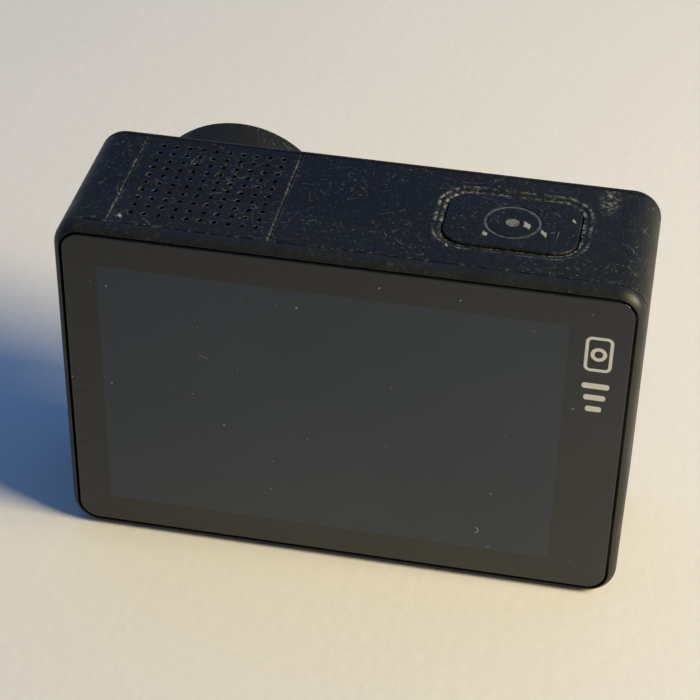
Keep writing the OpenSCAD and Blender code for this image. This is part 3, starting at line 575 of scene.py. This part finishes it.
def dress_status_window():
    """The front window: smoked glass over a dark display, flush with the cover."""
    low, high = span("status_window")
    centre = (low + high) / 2
    s = Shader("status_glass")
    x, z = s.math("SUBTRACT", s.x, centre.x), s.math("SUBTRACT", s.z, centre.z)
    border_x, border_z = 1.5, 1.2
    outline = s.rim_distance(x, z, high.x - low.x - 2 * border_x, high.z - low.z - 2 * border_z, 0.3)
    dots = s.specks(s.flat_place(), 3.0, 0.12, 0.3)
    shown = s.mix(s.step(outline, 0.04, -0.04), (0.0045, 0.0045, 0.0045), (0.0095, 0.0115, 0.0135))
    base = s.mix(s.times(dots, 0.3), shown, (0.5, 0.5, 0.46))
    rough = s.math("ADD", s.step(s.noise(9.0, 5.0), 0.35, 0.75, 0.05, 0.12), s.times(dots, 0.3))
    glass = s.principled({"IOR": 1.52}, Base_Color=base, Roughness=rough, Normal=s.soft_edges(0.1))
    dress(glass, "status_window")


def dress_icon():
    """The worn grey ring and the paler dot on the button."""
    centre = middle("button_icon")
    s = Shader("icon_paint")
    r = s.distance(s.x, s.y, centre.x, centre.y)
    worn = s.step(s.noise(0.5, 4.0), 0.35, 0.6, 0.45, 1.0)
    ring = s.vector("SCALE", (0.090, 0.102, 0.108), scale=worn)
    dot = s.vector("SCALE", (0.18, 0.18, 0.16), scale=worn)
    base = s.mix(s.step(r, 1.0, 0.9), ring, dot)
    paint = s.principled(Base_Color=base, Roughness=0.55, Normal=s.bump(s.noise(0.2, 3.0), 0.01))
    dress(paint, "button_icon")


# ---------- lens ----------


def lens_radius(s):
    """Distance from the lens axis."""
    axis = middle("lens_window")
    return s.distance(s.x, s.z, axis.x, axis.z)


def clear_glass(name, tint, gloss, roughness):
    """Thin clear glass: what is behind it, with reflections and a few specks on its surface."""
    s = Shader(name)
    behind = s.node("BsdfTransparent", Color=tint)
    smear = s.step(s.noise(3.0, 5.0), 0.35, 0.75, roughness, 2 * roughness)
    shine = s.node("BsdfAnisotropic", Color=gloss, Roughness=smear)
    front = s.math("SUBTRACT", 1.0, s.node("NewGeometry").outputs["Backfacing"])
    mirrored = s.times(s.node("Fresnel", IOR=1.28).outputs[0], front)
    dirt = s.node("BsdfDiffuse", Color=(0.4, 0.4, 0.38))
    dots = s.times(s.specks(s.flat_place(), 2.4, 0.09, 0.25), front, 0.35)
    return s.finish(s.layer(dots, s.layer(mirrored, behind, shine), dirt))


def dress_lens():
    dress(clear_glass("lens_window_glass", (0.93, 0.95, 0.97), (0.75, 0.85, 1.0), 0.02), "lens_window")

    s = Shader("coated_lens")
    r = lens_radius(s)
    facing = s.node("LayerWeight", Blend=0.35).outputs["Facing"]
    # Rings of base colour by distance from the axis: a black pupil, a dim blue glow, a violet ring at 3.6 mm
    # and a dark outer ring. These are painted reflection and painted shade, the look of the glass elements
    # deep in the lens.
    depth = s.mix(s.step(r, 1.6, 3.4), (0.0008, 0.0010, 0.0016), (0.006, 0.009, 0.020))
    depth = s.mix(s.step(s.gap(r, 3.6), 0.28, 0.05), depth, (0.016, 0.012, 0.034))
    depth = s.mix(s.step(r, 4.5, 4.7), depth, (0.004, 0.004, 0.005))
    coating = s.mix(s.step(facing, 0.05, 0.6), (0.25, 0.55, 1.0), (0.85, 0.35, 0.95))
    shader = s.principled(
        {"IOR": 1.6, "Coat Weight": 0.6, "Coat Roughness": 0.02},
        Base_Color=depth, Roughness=s.step(s.noise(2.0, 3.0), 0.3, 0.7, 0.02, 0.05), Specular_Tint=coating
    )
    dress(shader, "front_element", "lens_elements")

    s = Shader("lens_black")
    ridges = s.math("SINE", s.times(lens_radius(s), 11.0))
    turned = s.bump(s.math("MULTIPLY", s.math("ADD", ridges, 1.0), 0.5), 0.02, s.soft_edges(0.08))
    base = s.shade(s.noise(1.0, 3.0), (0.007, 0.007, 0.008))
    black = s.principled({"Specular IOR Level": 0.3}, Base_Color=base, Roughness=0.62, Normal=turned)
    dress(black, "lens_baffle", "lens_barrel")
    dress(mould("holder_black", (0.012, 0.012, 0.013), 0.5), "lens_holder")

    s = Shader("filter_glass")
    facing = s.node("LayerWeight", Blend=0.4).outputs["Facing"]
    base = s.mix(s.step(s.noise(3.0, 2.0), 0.3, 0.7), (0.10, 0.02, 0.05), (0.14, 0.03, 0.06))
    tint = s.mix(facing, (1.0, 0.4, 0.5), (0.4, 1.0, 0.9))
    pink = s.principled({"Coat Weight": 0.5}, Base_Color=base, Roughness=0.05, Specular_Tint=tint)
    dress(pink, "infrared_filter")

    low, high = span("image_sensor")
    centre = (low + high) / 2
    s = Shader("sensor_silicon")
    x, z = s.math("SUBTRACT", s.x, centre.x), s.math("SUBTRACT", s.z, centre.z)
    outline = s.rim_distance(x, z, 6.4, 4.8, 0.05)
    facing = s.node("LayerWeight", Blend=0.5).outputs["Facing"]
    sheen = s.mix(facing, (0.05, 0.09, 0.06), (0.10, 0.04, 0.12))
    lines = s.most(s.stripes(s.x, 0.5, 0.22), s.stripes(s.z, 0.5, 0.22))
    pads = s.times(lines, s.step(outline, 0.35, 0.45))
    base = s.mix(s.step(outline, -0.02, 0.02), sheen, s.mix(pads, (0.03, 0.03, 0.03), (0.7, 0.5, 0.18)))
    dress(s.principled(Base_Color=base, Roughness=0.18, Metallic=pads), "image_sensor")


# ---------- plain materials ----------


def mould(name, colour, roughness):
    """Clean moulded plastic or rubber with a fine spark-eroded grain."""
    s = Shader(name)
    normal = s.bump(s.noise(0.12, 2.0), 0.012, s.soft_edges(0.1))
    rough = s.step(s.noise(2.0, 3.0), 0.3, 0.7, roughness - 0.06, roughness + 0.06)
    return s.principled(Base_Color=s.shade(s.noise(4.0, 3.0), colour, 0.12), Roughness=rough, Normal=normal)


def metal(name, colour, roughness, brush=(1, 1, 1)):
    """Metal with fine marks, drawn out along the axes where brush is below 1."""
    s = Shader(name)
    along = s.vector("MULTIPLY", s.place, brush)
    marks = s.noise(0.12, 3.0, along)
    stain = s.noise(2.5, 4.0)
    rough = s.math("ADD", s.step(marks, 0.3, 0.7, roughness - 0.07, roughness + 0.07), s.times(stain, 0.06))
    normal = s.bump(marks, 0.004, s.soft_edges(0.08))
    base = s.shade(stain, colour, 0.1)
    return s.principled({"Metallic": 1.0}, Base_Color=base, Roughness=rough, Normal=normal)


def circuit_board(name, mask):
    """Solder mask over copper tracks that run one way or the other from patch to patch, with gold vias."""
    s = Shader(name)
    flat = s.flat_place()
    u, w, _ = s.split(flat)
    cell = s.vector("FLOOR", s.vector("SCALE", flat, scale=1 / 2.4))
    chance, other, _ = s.split(s.node("TexWhiteNoise", Vector=cell).outputs["Color"])
    lengthwise = s.math("GREATER_THAN", chance, 0.5)
    tracks = s.math("ADD", s.times(s.stripes(u, 0.42, 0.14), lengthwise),
                    s.times(s.stripes(w, 0.42, 0.14), s.math("SUBTRACT", 1.0, lengthwise)))
    tracks = s.times(tracks, s.math("LESS_THAN", other, 0.7))
    vias = s.specks(flat, 1.3, 0.16, 0.5)
    base = s.mix(tracks, s.shade(s.noise(5.0), mask), tuple(2.2 * c for c in mask))
    base = s.mix(vias, base, (0.72, 0.50, 0.18))
    rough = s.math("ADD", s.times(vias, 0.1), 0.3)
    normal = s.bump(s.most(tracks, vias), 0.02, s.soft_edges(0.05))
    return s.principled(Base_Color=base, Roughness=rough, Metallic=vias, Normal=normal)


def chip(name, nodes):
    """Black moulded chips, each with a small dot in one corner."""
    s = Shader(name)
    dots = []
    for node in nodes:
        low, high = span(node)
        dots.append(s.step(s.distance(s.x, s.z, low.x + 0.9, high.z - 0.9), 0.42, 0.36))
    base = s.mix(s.most(*dots), s.shade(s.noise(0.3, 3.0), (0.016, 0.016, 0.017)), (0.05, 0.05, 0.05))
    normal = s.bump(s.noise(0.09, 2.0), 0.008, s.soft_edges(0.06))
    return s.principled(Base_Color=base, Roughness=0.5, Normal=normal)


def ribbon(name, across):
    """Amber film with copper tracks. across is the axis that the tracks are spaced along."""
    s = Shader(name)
    tracks = s.stripes({"x": s.x, "z": s.z}[across], 0.45, 0.22)
    base = s.mix(tracks, s.shade(s.noise(3.0), (0.42, 0.17, 0.03)), (0.30, 0.09, 0.02))
    return s.principled(Base_Color=base, Roughness=0.32, Normal=s.bump(tracks, 0.02))


def battery_wrap():
    """Dark shrink wrap with a pale band, plus and minus signs, and an arrow on the end that shows."""
    low, high = span("battery")
    centre = (low + high) / 2
    s = Shader("battery_wrap")
    x = s.math("SUBTRACT", s.x, centre.x)
    z = s.math("SUBTRACT", s.z, centre.z)
    y = s.math("SUBTRACT", s.y, centre.y)
    base = s.shade(s.noise(7.0, 3.0), (0.020, 0.022, 0.025))
    on_side = s.step(s.math("ABSOLUTE", y), 4.05, 4.15)
    band = s.times(on_side, s.step(s.gap(z, 0.0), 8.0, 7.95))
    base = s.mix(band, base, (0.50, 0.51, 0.52))
    plus_x = s.math("ADD", x, 11.5)
    bars = s.most(
        s.step(s.rim_distance(plus_x, z, 3.4, 0.8, 0.1), 0.03, -0.03),
        s.step(s.rim_distance(plus_x, z, 0.8, 3.4, 0.1), 0.03, -0.03),
        s.step(s.rim_distance(s.math("SUBTRACT", x, 11.5), z, 3.4, 0.8, 0.1), 0.03, -0.03),
    )
    base = s.mix(s.times(on_side, bars), base, (0.03, 0.03, 0.03))
    on_end = s.step(s.z, low.z + 0.05, low.z + 0.02)
    head = s.step(s.math("ADD", s.math("ABSOLUTE", y), s.math("SUBTRACT", x, 3.0)), 0.05, -0.05)
    head = s.times(head, s.step(x, 0.0, 0.05))
    stem = s.step(s.rim_distance(s.math("ADD", x, 2.4), y, 5.0, 1.0, 0.1), 0.03, -0.03)
    base = s.mix(s.times(on_end, s.most(head, stem)), base, (0.55, 0.56, 0.56))
    normal = s.bump(s.noise(1.2, 3.0), 0.03, s.soft_edges(0.2))
    return s.principled(Base_Color=base, Roughness=s.step(s.noise(3.0), 0.3, 0.7, 0.3, 0.4), Normal=normal)


def dress_insides():
    steel = metal("drawn_steel", (0.62, 0.62, 0.60), 0.28, (1, 0.15, 1))
    sheet = metal("tinned_sheet", (0.66, 0.66, 0.64), 0.34, (0.2, 1, 1))
    dress(steel, "frame_screws", "door_hinge_pin", "port_hinge_pin")
    dress(metal("blackened_steel", (0.20, 0.20, 0.21), 0.5, (1, 0.15, 1)), "latch_keeper")
    dress(sheet, "emi_shield", "microsd_slot", "lcd_tray", "shutter_switch")
    dress(metal("cast_frame", (0.42, 0.43, 0.44), 0.5), "mid_frame")
    dress(metal("turned_brass", (0.78, 0.58, 0.28), 0.26, (1, 1, 4)), "tripod_nut")
    dress(metal("gold_plate", (0.95, 0.70, 0.30), 0.22, (1, 1, 0.2)), "battery_contacts", "wifi_antenna")
    dress(circuit_board("board_mask", (0.006, 0.040, 0.022)), "main_board", "sensor_board")
    dress(chip("chip_black", ("processor", "memory_chips")), "processor", "memory_chips")
    dress(ribbon("display_ribbon", "x"), "lcd_flex")
    dress(ribbon("sensor_ribbon", "x"), "sensor_flex")
    inner = mould("inner_black", (0.016, 0.016, 0.017), 0.5)
    dress(inner, "battery_bay", "button_bracket", "switch_plunger")
    dress(mould("seal_grey", (0.055, 0.055, 0.058), 0.72), "door_gasket", "port_plug", "lens_gasket")
    dress(mould("pad_blue", (0.16, 0.24, 0.33), 0.8), "thermal_pad")
    dress(battery_wrap(), "battery")
    dress_light_pipes()
    dress_speaker()
    dress_usb_port()
    dress_microphone()


def dress_light_pipes():
    """Milky grey light guides."""
    s = Shader("light_guide")
    base = s.shade(s.noise(0.6, 3.0), (0.10, 0.105, 0.11), 0.1)
    plain = {"Subsurface Weight": 0.3, "Subsurface Scale": 0.0005, "Coat Weight": 0.4}
    guide = s.principled(plain, Base_Color=base, Roughness=0.2, Normal=s.soft_edges(0.08))
    dress(guide, "rear_light_pipes", "front_light_pipe")


def dress_speaker():
    """The black speaker with a ringed cone, its rings shaded with painted highlight and painted shade, and
    the woven mesh over it with painted shade in its gaps.
    """
    centre = middle("speaker")
    s = Shader("speaker_cone")
    r = s.distance(s.x, s.y, centre.x, centre.y)
    rings = s.math("MULTIPLY", s.math("ADD", s.math("SINE", s.times(r, 9.0)), 1.0), 0.5)
    # The rings that raise the bump also lighten the crests and darken the troughs: painted highlight and
    # painted shade.
    base = s.shade(rings, (0.02, 0.02, 0.022), 0.3)
    dress(s.principled(Base_Color=base, Roughness=0.45, Normal=s.bump(rings, 0.08)), "speaker")
    s = Shader("speaker_weave")
    threads = s.most(s.stripes(s.x, 0.24, 0.1), s.stripes(s.y, 0.24, 0.1))
    # The gaps between the threads are painted near black: painted shade where the mesh would open onto the
    # cone.
    base = s.mix(threads, (0.002, 0.002, 0.002), (0.012, 0.012, 0.013))
    dress(s.principled(Base_Color=base, Roughness=0.6, Normal=s.bump(threads, 0.05)), "speaker_mesh")


def dress_usb_port():
    """A drawn steel shell round a black tongue with gold contacts."""
    centre = middle("usb_c_port")
    s = Shader("usb_shell")
    y, z = s.math("SUBTRACT", s.y, centre.y), s.math("SUBTRACT", s.z, centre.z)
    on_tongue = s.step(s.rim_distance(y, z, 0.9, 6.8, 0.1), 0.02, -0.02)
    contacts = s.times(on_tongue, s.stripes(z, 0.5, 0.26))
    shell = s.shade(s.noise(1.5, 4.0), (0.60, 0.60, 0.59), 0.12)
    base = s.mix(contacts, s.mix(on_tongue, shell, (0.015, 0.015, 0.016)), (0.90, 0.65, 0.28))
    shiny = s.most(contacts, s.math("SUBTRACT", 1.0, on_tongue))
    rough = s.step(s.noise(0.3, 3.0), 0.3, 0.7, 0.24, 0.36)
    port = s.principled(Base_Color=base, Roughness=rough, Metallic=shiny, Normal=s.soft_edges(0.1))
    dress(port, "usb_c_port")


def dress_microphone():
    """A gold-washed can with its sound hole painted as a near-black disc: painted shade."""
    centre = middle("microphone")
    s = Shader("microphone_can")
    r = s.distance(s.x, s.z, centre.x, centre.z)
    wash = s.shade(s.noise(0.5, 3.0), (0.60, 0.50, 0.32))
    # The sound hole is a near-black disc in the base colour: painted shade, not an opening.
    base = s.mix(s.step(r, 0.24, 0.2), wash, (0.002, 0.002, 0.002))
    can = s.principled({"Metallic": 1.0}, Base_Color=base, Roughness=0.35, Normal=s.soft_edges(0.08))
    dress(can, "microphone")


# ---------- pieces ----------


def add_thread():
    """The tripod socket's thread: a helical ridge on the wall of the nut's bore."""
    low, high = span("tripod_nut")
    axis = (low + high) / 2
    bore, ridge, half_width, start = 2.6, 0.26, 0.3, 0.5
    pitch, depth = 1.27, 4.6
    steps, taper_steps = 40, 8
    points, faces = [], []
    count = int(depth / pitch * steps)
    for i in range(count + 1):
        angle = math.tau * i / steps
        z = low.z + start + pitch * i / steps
        taper = min(1.0, i / taper_steps, (count - i) / taper_steps)
        root, crest = bore + 0.02, bore - ridge * taper
        for radius, dz in ((root, -half_width), (crest, 0.0), (root, half_width)):
            x = axis.x + radius * math.cos(angle)
            y = axis.y + radius * math.sin(angle)
            points.append(Vector((x, y, z + dz)) * MM)
    for i in range(count):
        a, b = 3 * i, 3 * (i + 1)
        for j, k in ((0, 1), (1, 2), (2, 0)):
            faces.append((a + j, b + j, b + k, a + k))
    faces += [(0, 1, 2), (3 * count + 2, 3 * count + 1, 3 * count)]
    mesh = bpy.data.meshes.new("tripod_thread")
    mesh.from_pydata(points, [], faces)
    thread = bpy.data.objects.new("tripod_thread", mesh)
    bpy.context.scene.collection.objects.link(thread)
    mesh.materials.append(metal("thread_brass", (0.70, 0.52, 0.25), 0.3))
    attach(thread, "camera_body")


add_camera()
add_lights()
add_floor()
dress_shell()
dress_grip()
dress_screen()
dress_displays()
dress_status_window()
dress_icon()
dress_lens()
dress_insides()
add_thread()
